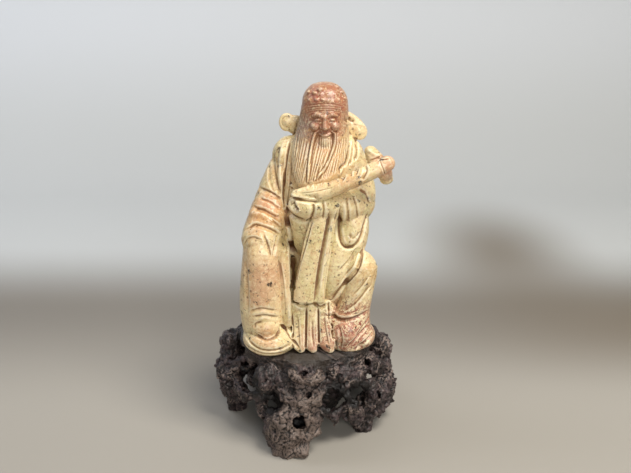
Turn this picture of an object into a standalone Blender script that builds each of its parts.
"""A soapstone figure of a seated, bearded sage, loose on its pierced rootwood stand.

Metres, +Z up. The origin is on the table under the middle of the stand, and the figure faces -Y.
The figure is one carved stone and the stand one carved piece of wood, so each is one solid.
"""

import math

import bmesh
import bpy
import numpy as np
from mathutils import Vector, noise
from mathutils.bvhtree import BVHTree

# Driving dimensions
FIGURE_HEIGHT = 0.1905
STAND_WIDTH = 0.138
STAND_DEPTH = 0.136
STAND_HEIGHT = 0.068
PLATE_THICKNESS = 0.009
PLATE_WIDTH = 0.100
PLATE_DEPTH = 0.088
HOLLOW_WIDTH = 0.040
HOLLOW_DEPTH = 0.036
HOLLOW_HEIGHT = 0.040
REST_GAP = 0.0003

# The figure is carved in shares of its height: 190.5 units from its base to the crown of its hat
FIGURE_UNITS = 190.5
# The stand is carved in shares of its own width, depth and height
STAND_UNITS = (138, 136, 68)
# The size of the grid that kneads the shapes into one skin, in units, and the flat faces left at the end
FIGURE_GRAIN = 1.15
FIGURE_FACETS = 6100
STAND_GRAIN = 1.3
STAND_FACETS = 3700

# The ways of looking at a surface along which strokes are drawn on it
FROM_FRONT = Vector((0, 1, 0))
FROM_BACK = Vector((0, -1, 0))
FROM_LEFT = Vector((1, 0, 0))
FROM_RIGHT = Vector((-1, 0, 0))


def spline(points, steps):
    """A Catmull-Rom curve through the rows of points, with steps spans between two rows."""
    rows = np.asarray(points, float)
    ends = np.vstack([2 * rows[0] - rows[1], rows, 2 * rows[-1] - rows[-2]])
    curve = []
    for a, b, c, d in zip(ends, ends[1:], ends[2:], ends[3:]):
        for t in np.arange(steps) / steps:
            curve.append(
                0.5 * (2 * b + (c - a) * t + (2 * a - 5 * b + 4 * c - d) * t**2
                       + (3 * b - a - 3 * c + d) * t**3)
            )
    return np.array([*curve, rows[-1]])


class Clay:
    """Closed shapes that overlap, to be kneaded into one body."""

    def __init__(self):
        self.points = []
        self.faces = []

    def add_rings(self, rings):
        """Joins rings of equal size into a tube and closes both ends with a point at their middle."""
        first = len(self.points)
        sides = len(rings[0])
        for ring in rings:
            self.points.extend(ring)
        for row in range(len(rings) - 1):
            for i in range(sides):
                j = (i + 1) % sides
                a = first + row * sides
                self.faces.append((a + i, a + j, a + sides + j, a + sides + i))
        last = first + (len(rings) - 1) * sides
        self.points.extend([np.mean(rings[0], axis=0), np.mean(rings[-1], axis=0)])
        for i in range(sides):
            j = (i + 1) % sides
            self.faces.append((first + j, first + i, len(self.points) - 2))
            self.faces.append((last + i, last + j, len(self.points) - 1))

    def limb(self, stations, across=(0, 1, 0), sides=20, steps=5, cap=1.0):
        """A round-ended limb. Each station is x, y, z and its half widths across the side named and the other way."""
        rows = [s if len(s) == 5 else (*s[:4], s[3]) for s in stations]
        curve = spline(rows, steps)
        along = np.gradient(curve[:, :3], axis=0)
        along /= np.linalg.norm(along, axis=1)[:, None]
        turn = np.linspace(0, 2 * math.pi, sides, endpoint=False)
        rings = []
        for place, (row, ahead) in enumerate(zip(curve, along)):
            side = np.cross(ahead, across)
            side /= np.linalg.norm(side)
            other = np.cross(side, ahead)
            ends = [1.0]
            if place in (0, len(curve) - 1):
                ends = [0.35, 0.75, 0.95] if place == 0 else [0.95, 0.75, 0.35]
            for share in ends:
                push = math.sqrt(1 - share**2) * min(row[3], row[4]) * cap if share < 1 else 0.0
                middle = row[:3] + ahead * (push if place else -push)
                rings.append([
                    middle + share * (row[3] * math.cos(a) * other + row[4] * math.sin(a) * side)
                    for a in turn
                ])
        self.add_rings(rings)

    def ball(self, centre, radii, lean=(0, 0, 0), sides=24):
        """An egg with the given half widths, leaned by degrees about x, y and z."""
        turned = [math.radians(a) for a in lean]
        frame = np.eye(3)
        for axis, angle in enumerate(turned):
            c, s = math.cos(angle), math.sin(angle)
            i, j = [(1, 2), (2, 0), (0, 1)][axis]
            spin = np.eye(3)
            spin[i, i], spin[i, j], spin[j, i], spin[j, j] = c, -s, s, c
            frame = spin @ frame
        rings = []
        for down in np.linspace(0, math.pi, sides // 2 + 1)[1:-1]:
            ring = []
            for around in np.linspace(0, 2 * math.pi, sides, endpoint=False):
                p = np.array([
                    math.sin(down) * math.cos(around),
                    math.sin(down) * math.sin(around),
                    -math.cos(down),
                ])
                ring.append(np.asarray(centre) + frame @ (p * radii))
            rings.append(ring)
        self.add_rings(rings)

    def loft(self, sections, square=2.4, sides=48, steps=4):
        """A body through level sections, each z, middle x, middle y, half width, half depth."""
        rings = []
        for z, x, y, wide, deep in spline(sections, steps):
            ring = []
            for a in np.linspace(0, 2 * math.pi, sides, endpoint=False):
                c, s = math.cos(a), math.sin(a)
                ring.append(np.array([
                    x + wide * math.copysign(abs(c) ** (2 / square), c),
                    y + deep * math.copysign(abs(s) ** (2 / square), s),
                    z,
                ]))
            rings.append(ring)
        self.add_rings(rings)

    def mesh(self, name):
        mesh = bpy.data.meshes.new(name)
        mesh.from_pydata([tuple(p) for p in self.points], [], self.faces)
        return mesh


def evaluated(obj):
    """A mesh of the object with its modifiers applied. The object is then removed."""
    bpy.context.view_layer.update()
    mesh = bpy.data.meshes.new_from_object(obj.evaluated_get(bpy.context.evaluated_depsgraph_get()))
    bpy.data.objects.remove(obj)
    return mesh


def knead(clay, voxel, passes):
    """One skin round all the shapes, softened as a hand would."""
    obj = bpy.data.objects.new("clay", clay.mesh("clay"))
    bpy.context.scene.collection.objects.link(obj)
    skin = obj.modifiers.new("skin", "REMESH")
    skin.mode = "VOXEL"
    skin.voxel_size = voxel
    soften = obj.modifiers.new("soften", "SMOOTH")
    soften.factor = 0.5
    soften.iterations = passes
    return evaluated(obj)


class Carving:
    """The kneaded skin as points that strokes of the chisel push in or out."""

    def __init__(self, mesh):
        self.mesh = mesh
        self.points = np.empty(len(mesh.vertices) * 3, np.float32)
        mesh.vertices.foreach_get("co", self.points)
        self.points = self.points.reshape(-1, 3).astype(float)
        self.normals = np.empty(len(mesh.vertices) * 3, np.float32)
        mesh.vertex_normals.foreach_get("vector", self.normals)
        self.normals = self.normals.reshape(-1, 3).astype(float)
        self.tree = BVHTree.FromPolygons(
            [tuple(p) for p in self.points], [tuple(f.vertices) for f in mesh.polygons]
        )

    def line_on(self, places, looking):
        """A curve drawn on the surface as seen along one axis, from points of the two other axes."""
        level = [i for i in range(3) if not looking[i]]
        axis = 3 - sum(level)
        line = []
        for flat in spline([p[:2] for p in places], 4):
            start = Vector((0, 0, 0))
            start[level[0]], start[level[1]] = flat
            start[axis] = -200 * looking[axis]
            hit = self.tree.ray_cast(start, looking)[0]
            if hit is not None:
                line.append(np.array(hit))
        return np.array(line)

    def stroke(self, places, width, depth, looking=FROM_FRONT):
        """Cuts a groove of this half width and depth along a line. A negative depth raises a fold."""
        line = self.line_on(places, looking)
        if len(line) < 2:
            return
        low, high = line.min(axis=0) - width, line.max(axis=0) + width
        near = np.flatnonzero(((self.points > low) & (self.points < high)).all(axis=1))
        points = self.points[near]
        reach = np.full(len(near), np.inf)
        fade = np.zeros(len(near))
        for number, (a, b) in enumerate(zip(line, line[1:])):
            ahead = b - a
            share = np.clip((points - a) @ ahead / max(ahead @ ahead, 1e-9), 0, 1)
            away = np.linalg.norm(points - a - share[:, None] * ahead, axis=1)
            closer = away < reach
            reach[closer] = away[closer]
            along = (number + share) / (len(line) - 1)
            fade[closer] = np.minimum(1, 5 * np.minimum(along, 1 - along) + 0.25)[closer]
        bite = depth * fade * np.clip(1 - (reach / width) ** 2, 0, 1) ** 1.5
        self.points[near] -= self.normals[near] * bite[:, None]

    def write(self):
        self.mesh.vertices.foreach_set("co", self.points.astype(np.float32).ravel())
        self.mesh.update()
        return self.mesh


def shape_robe(clay):
    """The block of the seated body under its robe, and the lap that fills out towards the left knee."""
    clay.loft([
        (-6, 3, 12, 42, 26), (0, 3, 12, 42, 26), (25, 3, 12, 41, 26), (50, 3, 12, 40, 25),
        (66, 3, 12, 37, 24), (85, 5, 11, 33, 22), (105, 7, 10, 31, 21), (125, 9, 9, 30, 20),
        (140, 10, 9, 29, 18), (149, 11, 8, 23, 15), (158, 12, 7, 13, 12),
    ])
    clay.ball((5, -6, 92), (20, 19, 28))
    clay.ball((22, -8, 64), (17, 17, 38), lean=(0, 8, 0))
    clay.ball((6, -12, 18), (20, 15, 26))
    clay.ball((-11, 8, 138), (13, 12, 14), lean=(0, 25, 0))
    clay.ball((29, 8, 137), (13, 12, 14), lean=(0, -25, 0))
    clay.ball((-29, 2, 36), (15, 24, 46))
    clay.ball((33, 2, 28), (13, 21, 42))


def shape_legs(clay):
    """The right leg stands straight with its boot forward, the left is drawn in under a lower knee."""
    clay.limb([(-18, 6, 62, 18), (-26, -8, 70, 17), (-30, -19, 74, 15)])
    clay.limb([
        (-31, -20, 72, 15.5, 14), (-31.5, -21, 52, 15.5, 15.5), (-31.5, -20, 34, 16, 16.5), (-30, -17, 16, 17, 17),
    ])
    clay.limb([(-17, -18, 74, 8, 5), (-15, -20, 48, 9, 4), (-13, -20, 22, 9, 6)])
    clay.ball((-26, -21, 8), (20.5, 22, 12))
    clay.ball((-29, -25, 19), (12.5, 13, 11))
    clay.ball((-34, -25, 74), (11, 10.5, 12))
    clay.limb([(14, 6, 56, 18), (27, -5, 60, 15), (39, -15, 62, 11)])
    clay.limb([(40, -16, 59, 12), (38, -17, 44, 11), (34, -16, 26, 13), (31, -14, 8, 18)])
    clay.ball((30, -17, 13), (15, 16, 15))
    clay.ball((42, -15, 7), (9, 14, 9))


def shape_arms(clay):
    """The right arm rests on its knee, the left crosses the belly inside a hanging sleeve."""
    clay.limb([(-7, 9, 141, 10), (-14, 8, 130, 11.5), (-21, 5, 113, 13), (-24.5, 2, 100, 14.4)])
    clay.limb([(-24, 1, 102, 14.4), (-27.5, -8, 93, 14.6), (-31, -17, 83, 15)])
    clay.limb([(28, 9, 141, 10), (33.5, 8, 130, 12), (37.5, 3, 114, 12.6), (37, 0, 103, 12.6)])
    clay.limb([
        (38, -3, 105, 12), (26, -16, 108, 11), (12, -24, 111, 9.5), (0, -27, 111.5, 9.5), (-4, -27, 112, 8),
    ])
    clay.ball((32.5, -7, 86), (13, 15, 26), lean=(-8, 5, 0))


def shape_head(clay):
    """Head, hair and the broad beard that covers the chest."""
    clay.ball((13.5, -2.5, 165), (11.5, 12, 15))
    clay.loft([
        (118, 7, -12, 11, 11), (128, 8, -9, 17, 13), (140, 9, -5, 18.5, 14), (150, 10.5, -2, 19, 13),
        (163, 12.5, 1, 17.5, 12.5), (174, 13.5, 3, 16.5, 14), (178, 13.5, 3, 15, 14),
    ])
    clay.limb([
        (6.5, -10.6, 170.5, 1.4), (9.5, -12.8, 172, 1.7), (13.5, -13.4, 170.8, 1.5),
        (17.5, -12.8, 172, 1.7), (20.5, -10.6, 170.5, 1.4),
    ], sides=10)
    clay.limb([(13.5, -13.4, 170.5, 1.6), (13.5, -15, 166.5, 1.9), (13.5, -16, 163.2, 2.4)], sides=12)
    for side in (-1, 1):
        clay.ball((13.5 + side * 2.1, -14.6, 162.6), (1.5, 1.6, 1.3), sides=12)
        clay.ball((13.5 + side * 4.9, -12.2, 168), (2.5, 1.9, 1.7), sides=12)
        clay.ball((13.5 + side * 6.4, -10.8, 163.2), (4, 3.8, 3.8), sides=16)
    clay.ball((13.2, -12.6, 152.5), (4.8, 3.2, 5.2), sides=16)


def shape_hat(clay):
    """A tall cap with two flaps that curl out behind the shoulders."""
    clay.loft([
        (172, 13.6, 3.2, 16, 16), (178, 13.6, 3.6, 16, 15.8), (182.5, 13.5, 4, 14.6, 14.4),
        (186.2, 13.4, 4, 12, 12), (189, 13.3, 4, 8.4, 8.4), (190.4, 13.2, 4, 3.5, 3.5),
    ], square=2.1)
    clay.limb([(2, 12, 156, 3.5, 9), (-6, 13, 158, 3, 7.5), (-12, 13, 160, 2.8, 6)], across=(0, 1, 0))
    clay.ball((-13.6, 12.5, 160.5), (5.8, 3.2, 6.8))
    clay.limb([(24, 12, 161, 3.5, 10), (31, 13, 157.5, 3, 9), (36, 12.5, 154.5, 2.8, 8)], across=(0, 1, 0))
    clay.ball((38.4, 12, 154.2), (5.7, 3.2, 6.8), lean=(0, -12, 0))


def shape_sceptre(clay):
    """A sceptre held slantwise, its cloud head turned away at the upper end."""
    clay.limb([(11, -30.5, 120.6, 5.2), (27, -29.5, 127.2, 5.5), (44, -27, 134.7, 5.8), (56, -24, 140, 5.6)])
    clay.limb([(-6, -29, 119.5, 3.5), (4, -30, 121.5, 4.6), (14, -30, 124, 4.6)])
    clay.limb([(45, -12, 146, 3, 4), (48, -16, 141, 4.5, 6), (54, -18, 133, 4.5, 6), (57, -15, 126, 3, 4)])
    clay.ball((45, -12, 145.5), (4.2, 4.5, 3.8))
    clay.ball((56.5, -14, 126), (4.8, 4.5, 3.8))


def shape_sash(clay):
    """Two lengths of cloth that hang from the left forearm, and the panels of the under robe below them."""
    clay.limb([
        (11.5, -27, 112, 3, 5.5), (5.2, -29, 84, 3, 6.8), (1.2, -29.5, 63, 3, 7.4), (-1.7, -30, 40.5, 3, 7.6),
    ], across=(0, 1, 0), cap=0.6)
    clay.limb([
        (19.5, -24, 110, 3, 4), (14.5, -26, 84, 3, 5), (11, -27, 63, 3, 5.8), (7.8, -27.5, 40, 3, 6),
    ], across=(0, 1, 0), cap=0.6)
    for high, half, middle_x, foot_x, tip_x in (
        (36, 5.6, -4.4, -4.8, -3.0), (35, 5.2, 4.4, 3.9, 6.0), (38, 6.0, 12.8, 15.6, 18.6),
    ):
        clay.limb([
            (middle_x, -25.6, high, 2.6, half), (middle_x, -27.8, high / 2, 2.4, half),
            (foot_x, -30.6, 7, 2.2, half), (tip_x, -32, 1.5, 2.0, 2.4),
        ], across=(0, 1, 0), cap=0.6)


# Each stroke: half width, depth (negative raises a fold), then points across and up as seen from that side
FRONT_STROKES = [
    # Right sleeve, from the shoulder to the gathered elbow
    (2.4, 1.4, (-22.5, 142), (-23, 133), (-21, 123), (-17, 111)),
    (2.2, -1.2, (-16, 147), (-18, 134), (-18, 118)),
    (2.0, 2.2, (-13, 138), (-14.5, 128), (-15.5, 112), (-14, 100)),
    (2.0, 1.2, (-35, 116), (-26, 115), (-16.5, 109.5)),
    (2.2, 1.6, (-39, 104.5), (-29, 104.5), (-18, 99)),
    (2.2, -0.9, (-40, 100.5), (-31, 101.5), (-21, 97)),
    (2.2, 1.5, (-42.5, 91), (-36, 96), (-28, 95), (-21, 91.5), (-18, 88)),
    (1.7, 0.9, (-29, 91), (-26, 83), (-23.5, 74)),
    # Robe over the right leg
    (2.4, -1.2, (-15, 90), (-13, 73), (-12, 41)),
    (3.0, 3.2, (-14, 98), (-12, 88), (-10, 73), (-9.5, 57), (-10, 40)),
    (2.2, 1.1, (-42, 72), (-41, 50), (-41.5, 30)),
    (1.9, 0.9, (-40, 34), (-31, 37), (-20, 33.5)),
    (1.8, 0.9, (-38, 30), (-29, 31.5), (-19, 28)),
    (1.7, 1.1, (-38, 18), (-29, 14.5), (-20.5, 16.5), (-18, 22)),
    (1.7, 1.0, (-44, 12.5), (-33, 7.6), (-20, 7), (-10, 9)),
    (1.8, 1.5, (-18.5, 22), (-11, 13.5), (-4.5, 4)),
    # Left cuff and hanging sleeve
    (2.2, 1.6, (-14, 104), (-9, 101), (-3, 100), (6, 102.5)),
    (3.0, 2.4, (-10, 116), (-8.5, 112), (-5, 108.5)),
    (1.8, 1.3, (-12, 118), (-2, 117.3), (10, 115.5)),
    (2.2, 2.1, (25, 113), (24, 104), (23, 92), (25, 82), (29, 78), (34, 78), (39, 83), (42, 92)),
    (1.7, 1.1, (29, 116), (30, 107), (30.5, 96)),
    (1.7, 1.1, (33.5, 116), (36, 109), (37, 98)),
    (1.8, 1.2, (38, 117.5), (43, 114), (46, 107)),
    # Hanging cloth
    (2.1, 1.5, (17, 110), (12.2, 84), (8.7, 63), (6.2, 40)),
    (2.1, 1.4, (22.5, 110), (18.6, 86), (16, 66), (13.4, 42)),
    (1.5, 1.2, (0.4, 34), (0, 16), (-0.4, 2)),
    (1.5, 1.2, (8.7, 35), (8.9, 18), (9.6, 2)),
    (1.7, 1.5, (16.6, 38), (18.8, 19), (23, 1)),
    # Lap and left leg
    (2.4, 1.9, (42, 76), (37.5, 63.5), (30.5, 53), (23.5, 43), (18, 35)),
    (2.0, 1.1, (47, 51), (36, 38), (26.5, 30)),
    (1.9, 1.2, (14, 29), (23, 24.5), (36, 27), (44, 30)),
    (1.7, 1.1, (46, 19), (38, 13), (31, 6)),
    (1.7, 1.1, (50, 13), (42, 7), (35, 1.5)),
    # Beard, parted by its two long locks
    (3.0, 2.0, (31, 151), (30, 143), (28, 136), (24, 130)),
    (1.9, -1.7, (7, 160), (4, 152), (3, 143), (2, 134), (2, 125)),
    (1.9, -1.7, (19, 160), (19.5, 152), (17, 145), (13, 136), (6, 126)),
    (1.6, 0.9, (-4, 160), (-6, 146), (-5, 132)),
    (1.6, 0.9, (23, 158), (24, 146), (21, 134)),
    (1.4, 0.8, (10, 148), (9, 138), (6, 128)),
    # Band and crease of the cap
    (1.5, 0.9, (0, 174.5), (6, 176.4), (13.5, 176.8), (21, 176.4), (27, 174.5)),
    (1.5, 1.0, (-1, 171), (6, 173.2), (13.5, 173.6), (21, 173.2), (28, 171)),
    (2.0, 1.2, (-2, 172), (-4, 164), (-6, 155)),
    (2.0, 1.2, (26, 172), (26.5, 164), (27.5, 153)),
]
BACK_STROKES = [
    (3.0, 1.5, (12, 148), (11, 125), (8, 100)),
    (3.2, 1.7, (-13, 140), (-7, 118), (1, 98)),
    (3.2, 1.7, (36, 138), (28, 117), (17, 98)),
    (3.4, -1.6, (-31, 92), (-8, 86), (18, 86), (40, 92)),
    (3.0, 1.6, (-31, 87), (-8, 81), (18, 81), (40, 87)),
    (3.4, 2.0, (-24, 78), (-28, 48), (-31, 6)),
    (3.4, 1.8, (-9, 76), (-10, 44), (-13, 5)),
    (3.4, 2.0, (9, 76), (11, 44), (12, 5)),
    (3.4, 1.8, (26, 78), (30, 48), (33, 6)),
    (2.4, 1.2, (0, 165), (13, 160), (27, 164)),
]
LEFT_STROKES = [
    (3.2, 1.8, (-4, 78), (2, 48), (6, 6)),
    (3.2, 1.8, (12, 84), (16, 48), (19, 6)),
    (2.6, 1.5, (2, 118), (8, 104), (16, 94)),
]
RIGHT_STROKES = [
    (3.2, 1.8, (-2, 70), (2, 44), (2, 6)),
    (3.2, 1.8, (12, 84), (14, 48), (16, 6)),
    (2.6, 1.5, (4, 122), (8, 106), (12, 88)),
]


def carve_folds(carving):
    """Every stroke of the chisel, seen from each side in turn."""
    sides = (
        (FROM_FRONT, FRONT_STROKES), (FROM_BACK, BACK_STROKES),
        (FROM_LEFT, LEFT_STROKES), (FROM_RIGHT, RIGHT_STROKES),
    )
    for looking, strokes in sides:
        for width, depth, *places in strokes:
            carving.stroke(places, width, depth, looking)


def faceted(mesh, facets):
    """The same form in about that many flat triangles."""
    obj = bpy.data.objects.new("fine", mesh)
    bpy.context.scene.collection.objects.link(obj)
    split = obj.modifiers.new("split", "TRIANGULATE")
    split.quad_method = "SHORTEST_DIAGONAL"
    thin = obj.modifiers.new("thin", "DECIMATE")
    thin.ratio = facets / sum(len(face.vertices) - 2 for face in mesh.polygons)
    thin.use_collapse_triangulate = True
    return evaluated(obj)


def read_points(mesh):
    points = np.empty(len(mesh.vertices) * 3, np.float32)
    mesh.vertices.foreach_get("co", points)
    return points.reshape(-1, 3).astype(float)


def write_points(mesh, points):
    mesh.vertices.foreach_set("co", points.astype(np.float32).ravel())
    mesh.update()


def make_block(name, low, high):
    """A plain box that only cuts: it isn't part of the object."""
    bm = bmesh.new()
    bmesh.ops.create_cube(bm, size=1)
    for vert in bm.verts:
        vert.co = [lo + (share + 0.5) * (hi - lo) for share, lo, hi in zip(vert.co, low, high)]
    mesh = bpy.data.meshes.new(name)
    bm.to_mesh(mesh)
    bm.free()
    block = bpy.data.objects.new(name, mesh)
    bpy.context.scene.collection.objects.link(block)
    block.hide_render = True
    block.display_type = "WIRE"
    return block


def make_material(name, colour, roughness):
    material = bpy.data.materials.new(name)
    material.use_nodes = True
    shader = material.node_tree.nodes["Principled BSDF"]
    shader.inputs["Base Color"].default_value = (*colour, 1)
    shader.inputs["Roughness"].default_value = roughness
    shader.inputs["Metallic"].default_value = 0
    return material


def make_piece(name, mesh, material, cutter, operation):
    """The named solid, cut flat where it rests."""
    mesh.name = name
    mesh.shade_smooth()
    mesh.materials.clear()
    mesh.materials.append(material)
    obj = bpy.data.objects.new(name, mesh)
    bpy.context.scene.collection.objects.link(obj)
    flat = obj.modifiers.new("flat", "BOOLEAN")
    flat.operation = operation
    flat.object = cutter
    return obj


def make_figure():
    clay = Clay()
    for shape in (shape_robe, shape_legs, shape_arms, shape_head, shape_hat, shape_sceptre, shape_sash):
        shape(clay)
    carving = Carving(knead(clay, FIGURE_GRAIN, 4))
    carve_folds(carving)
    mesh = faceted(carving.write(), FIGURE_FACETS)
    points = read_points(mesh)
    points *= FIGURE_HEIGHT / points[:, 2].max()
    points[:, 2] += STAND_HEIGHT + REST_GAP
    write_points(mesh, points)
    reach = FIGURE_HEIGHT
    under = make_block("bed", (-reach, -reach, 0), (reach, reach, STAND_HEIGHT + REST_GAP))
    make_piece("figure", mesh, make_material("soapstone", (0.62, 0.47, 0.29), 0.38), under, "DIFFERENCE")


def shape_core(clay):
    """The solid heart of the root under the plate."""
    clay.loft([(10, 0, 0, 25, 22), (22, 0, 0, 30, 26), (36, 0, 1, 36, 32), (58, 0, 1, 40, 36)], square=2.2)


def shape_front_roots(clay):
    """The knot and the foot under the front, and the two masses beside them."""
    clay.ball((1, -45, 49), (14, 12, 11))
    clay.ball((-2, -42, 59), (16, 11, 8))
    clay.ball((-15, -43, 50), (9, 9, 12))
    clay.limb([(-10, -52, 62, 3), (-3, -57, 59, 3), (6, -57, 60, 3.2), (12, -53, 62, 3)])
    clay.limb([(-15, -52, 45, 4), (-4, -58, 42.5, 4.5), (8, -57.5, 42.5, 4.5), (19, -51, 44, 4)])
    clay.limb([(1, -44, 42, 12), (-6, -50, 31, 14), (-11, -52, 19, 15), (-13, -52, 6, 13), (-13, -52, -8, 12)])
    clay.ball((-21, -49, 18), (11, 10, 15))
    clay.ball((-19, -46, 5), (11, 9, 9))
    clay.ball((3, -49, 27), (11, 11, 11))
    clay.ball((2, -52, 17), (8, 9, 9))
    clay.ball((-6, -58, 5), (8.5, 8, 8))
    clay.ball((-27, -41, 52), (11, 10, 12))
    clay.limb([(-28, -40, 46, 9), (-32, -39, 36, 6.5), (-33, -39, 27, 5), (-32, -38, 22, 4.5)])
    clay.ball((-30, -40, 28), (5, 5, 4))
    clay.limb([(-33, -38, 36, 4), (-26, -43, 30, 3.5), (-18, -46, 28, 5)])
    clay.limb([(-35, -36, 38, 5), (-43, -31, 33, 4.5), (-46, -28, 27, 3.5)])
    clay.limb([(-42, -31, 33, 4.5), (-50, -22, 33, 4.5), (-56, -14, 34, 6)])
    clay.limb([(20, -38, 57, 11, 9), (31, -36, 52, 11, 9), (42, -28, 52, 8), (48, -20, 54, 7)])
    clay.limb([(14, -42, 52, 7), (26, -42, 42, 6), (33, -40, 30, 6.5), (38, -36, 17, 6)])
    clay.limb([(6, -46, 34, 9), (15, -45, 28, 6), (21, -45, 24, 4), (22, -44, 18, 3)])
    clay.limb([(16, -45, 29, 4), (25, -43, 26, 4), (30, -42, 22, 3.5)])
    clay.limb([(31, -36, 48, 6), (42, -33, 46, 5), (50, -29, 36, 6.5), (50, -26, 22, 9)])


def shape_left_roots(clay):
    """The lobes and the foot under the left side."""
    clay.ball((-59, 6, 58), (9, 10, 8))
    clay.limb([(-44, 8, 62, 6), (-52, 8, 60, 7), (-58, 6, 54, 6)])
    clay.limb([(-58, 4, 54, 5), (-61, -4, 45, 7), (-61, -10, 38, 8), (-58, -10, 28, 8), (-55, -6, 20, 8)])
    clay.limb([(-56, -6, 24, 8), (-56, 3, 12, 8), (-55, 7, -6, 7)])
    clay.ball((-61, -8, 24), (5, 6, 7))
    clay.ball((-50, -9, 22), (5, 6, 6))
    clay.limb([(-58, 4, 52, 5), (-62, 10, 42, 7), (-60, 12, 26, 8), (-57, 8, 12, 8)])
    clay.limb([(-38, -22, 60, 7), (-46, -17, 52, 4), (-56, -11, 46, 6)])
    clay.limb([(-61, 10, 38, 6), (-58, 20, 44, 7), (-52, 26, 52, 8)])


def shape_right_roots(clay):
    """The lobes and the foot under the right side."""
    clay.ball((58, 1, 55), (9, 9, 12))
    clay.limb([(44, 4, 62, 6), (54, 3, 58, 8), (59, 0, 44, 6), (62, -3, 30, 8), (59, -8, 18, 9)])
    clay.ball((51, -22, 21), (10, 11, 12))
    clay.ball((60, -8, 31), (8, 8, 9))
    clay.limb([(48, -22, 22, 10), (45, -24, 9, 8), (42, -25, -6, 5.5)])
    clay.limb([(50, -23, 24, 9), (57, -14, 22, 10), (60, -6, 20, 9)])
    clay.limb([(48, -22, 52, 6), (55, -14, 47, 5), (60, -4, 42, 6)])
    clay.limb([(60, -3, 26, 8), (60, 10, 30, 8), (57, 20, 40, 7), (52, 26, 50, 8)])


def shape_back_roots(clay):
    """The two feet under the back and what joins them."""
    clay.limb([(24, 36, 60, 11), (32, 42, 46, 11), (36, 46, 26, 12), (39, 49, 8, 12), (40, 50, -6, 11)])
    clay.limb([(-26, 36, 60, 11), (-33, 42, 46, 11), (-37, 46, 26, 12), (-40, 48, 8, 12), (-41, 49, -6, 11)])
    clay.ball((0, 42, 54), (18, 11, 12))
    clay.limb([(2, 42, 50, 11), (-4, 48, 38, 10), (2, 52, 26, 8), (-1, 52, 15, 7)])
    clay.limb([(50, 22, 54, 9), (54, 27, 40, 8), (50, 33, 28, 8), (41, 44, 22, 9)])
    clay.limb([(-50, 22, 54, 9), (-54, 27, 40, 8), (-51, 33, 28, 8), (-42, 44, 22, 9)])
    clay.limb([(-36, 46, 32, 8), (-20, 51, 34, 8), (-2, 50, 34, 8), (18, 51, 34, 8), (36, 46, 30, 8)])
    clay.limb([(-58, 10, 22, 7), (-54, 24, 24, 6), (-46, 38, 22, 7)])
    clay.limb([(60, 8, 24, 7), (56, 24, 26, 6), (46, 38, 22, 7)])


def shape_holes(clay):
    """The openings that pierce the roots, and the blind hollows of old knots."""
    clay.limb([(-3, -78, 37, 4.6, 5.4), (-4, -63, 29, 4.4, 5.2), (-5, -51, 22, 3.4, 4)])
    clay.limb([(-3, -64, 69, 2.6, 3.6), (-2, -54, 63, 2.4, 3.2), (-2, -48, 60, 1.8, 2.4)])
    clay.limb([(-8, -61, 55, 1.8), (0, -61, 54.5, 2.6), (8, -60, 55.5, 1.8)])
    clay.limb([(3, -68, 53, 2.2), (2, -54, 46, 2)])
    clay.limb([(-20, -66, 40, 2), (-5, -64, 37, 2.2), (8, -62, 37, 2.2), (24, -58, 42, 2)])
    clay.limb([(20, -66, 50, 6.5, 7.5), (21, -48, 39, 7, 8), (19, -26, 28, 5.5, 6.5)])
    clay.limb([(25, -60, 44, 3), (27, -40, 33, 3.4), (24, -24, 26, 3)])
    clay.limb([(43, -60, 50, 5, 6.6), (40, -38, 37, 5, 6.6), (36, -22, 30, 4.5, 5.5)])
    clay.limb([(-47, -60, 55, 6, 7.5), (-43, -33, 42, 6, 7.5), (-37, -18, 34, 5, 6)])
    clay.limb([(-24, -66, 44, 4, 5), (-24, -46, 34, 4, 5), (-23, -24, 22, 4, 5)])
    clay.limb([(-63, -44, 50, 3.4), (-58, -18, 35, 3.2)])
    clay.limb([(58, -50, 44, 3.4), (54, -26, 29, 3.2)])
    clay.limb([(-50, -30, 70, 3, 3), (-47, -10, 58, 3, 3.4), (-46, 20, 46, 4, 4)])
    clay.limb([(-48, -38, 62, 3.4, 3), (-45, -15, 50, 3.2, 3.4), (-40, 14, 40, 4, 4)])
    clay.limb([(47, -38, 64, 3.4, 3), (45, -18, 52, 3.2, 3), (40, 14, 40, 4, 4)])
    clay.limb([(48, -42, 56, 3, 3), (46, -22, 43, 3.2, 3), (40, 10, 34, 4, 4)])
    clay.limb([(14, 80, 50, 5), (14, 48, 42, 5.5), (8, 16, 32, 5)])
    clay.limb([(-18, 80, 46, 5), (-17, 48, 42, 5.5), (-10, 16, 32, 5)])
    clay.limb([(-76, 22, 36, 4.5), (-54, 18, 36, 5), (-24, 8, 32, 5)])
    clay.limb([(76, 14, 38, 4.5), (54, 14, 38, 5), (24, 6, 32, 5)])
    clay.limb([(52, 52, 44, 4), (44, 36, 40, 4.5), (24, 14, 34, 5)])
    clay.limb([(-56, 50, 42, 4), (-45, 36, 39, 4.5), (-24, 14, 34, 5)])


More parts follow.
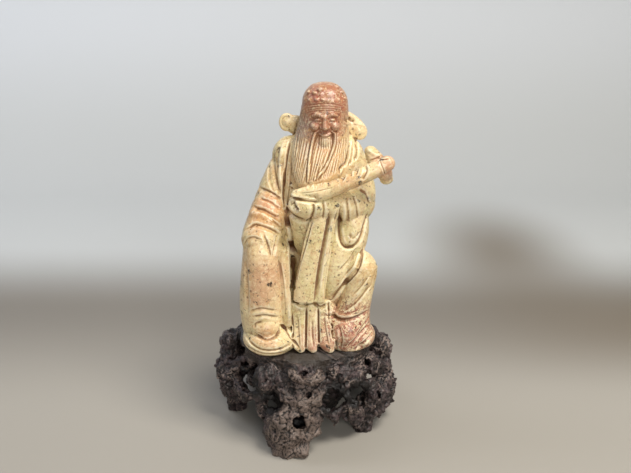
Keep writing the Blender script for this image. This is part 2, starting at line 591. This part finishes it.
def make_stand():
    unit = np.array([STAND_WIDTH, STAND_DEPTH, STAND_HEIGHT]) / STAND_UNITS
    clay, holes = Clay(), Clay()
    half_width = PLATE_WIDTH / unit[0] / 2
    half_depth = PLATE_DEPTH / unit[1] / 2
    low = (STAND_HEIGHT - PLATE_THICKNESS) / unit[2]
    top = STAND_UNITS[2]
    clay.loft([
        (low - 4, 0, 0, 0.8 * half_width, 0.8 * half_depth),
        (low, 0, 0, 0.95 * half_width, 0.95 * half_depth),
        (0.5 * (low + top), 0, 0, half_width, half_depth),
        (top + 3, 0, 0, half_width, half_depth),
    ], square=2.5)
    for shape in (shape_core, shape_front_roots, shape_left_roots, shape_right_roots, shape_back_roots):
        shape(clay)
    shape_holes(holes)
    hollow = [0.5 * HOLLOW_WIDTH / unit[0], 0.5 * HOLLOW_DEPTH / unit[1], HOLLOW_HEIGHT / unit[2]]
    holes.ball((0, 0, 0), hollow, sides=32)
    carving = Carving(knead(clay, STAND_GRAIN, 2))
    roughen(carving, 1.6, 9)
    solid = carve_through(carving.write(), holes)
    mesh = faceted(solid, STAND_FACETS)
    points = read_points(mesh) * unit
    for axis, size in ((0, STAND_WIDTH), (1, STAND_DEPTH)):
        points[:, axis] -= 0.5 * (points[:, axis].max() + points[:, axis].min())
        points[:, axis] *= size / np.ptp(points[:, axis])
    write_points(mesh, points)
    kept = make_block("sawn", (-STAND_WIDTH, -STAND_DEPTH, 0), (STAND_WIDTH, STAND_DEPTH, STAND_HEIGHT))
    make_piece("stand", mesh, make_material("stained_wood", (0.055, 0.038, 0.035), 0.5), kept, "INTERSECT")


def roughen(carving, depth, spacing):
    """Lumps and dents of old root wood, about one per spacing."""
    for i, (point, normal) in enumerate(zip(carving.points, carving.normals)):
        lump = noise.noise(Vector(point) / spacing) + 0.5 * noise.noise(Vector(point) * 2.3 / spacing)
        carving.points[i] = point + normal * depth * lump


def carve_through(mesh, holes):
    """Cuts the holes out of the skin and closes their rims again."""
    obj = bpy.data.objects.new("roots", mesh)
    cutter = bpy.data.objects.new("holes", holes.mesh("holes"))
    for made in (obj, cutter):
        bpy.context.scene.collection.objects.link(made)
    cut = obj.modifiers.new("cut", "BOOLEAN")
    cut.operation = "DIFFERENCE"
    cut.object = cutter
    cut.use_self = True
    skin = obj.modifiers.new("skin", "REMESH")
    skin.mode = "VOXEL"
    skin.voxel_size = STAND_GRAIN
    soften = obj.modifiers.new("soften", "SMOOTH")
    soften.iterations = 1
    solid = evaluated(obj)
    bpy.data.objects.remove(cutter)
    return solid


def main():
    for obj in list(bpy.data.objects):
        bpy.data.objects.remove(obj)
    make_stand()
    make_figure()


main()
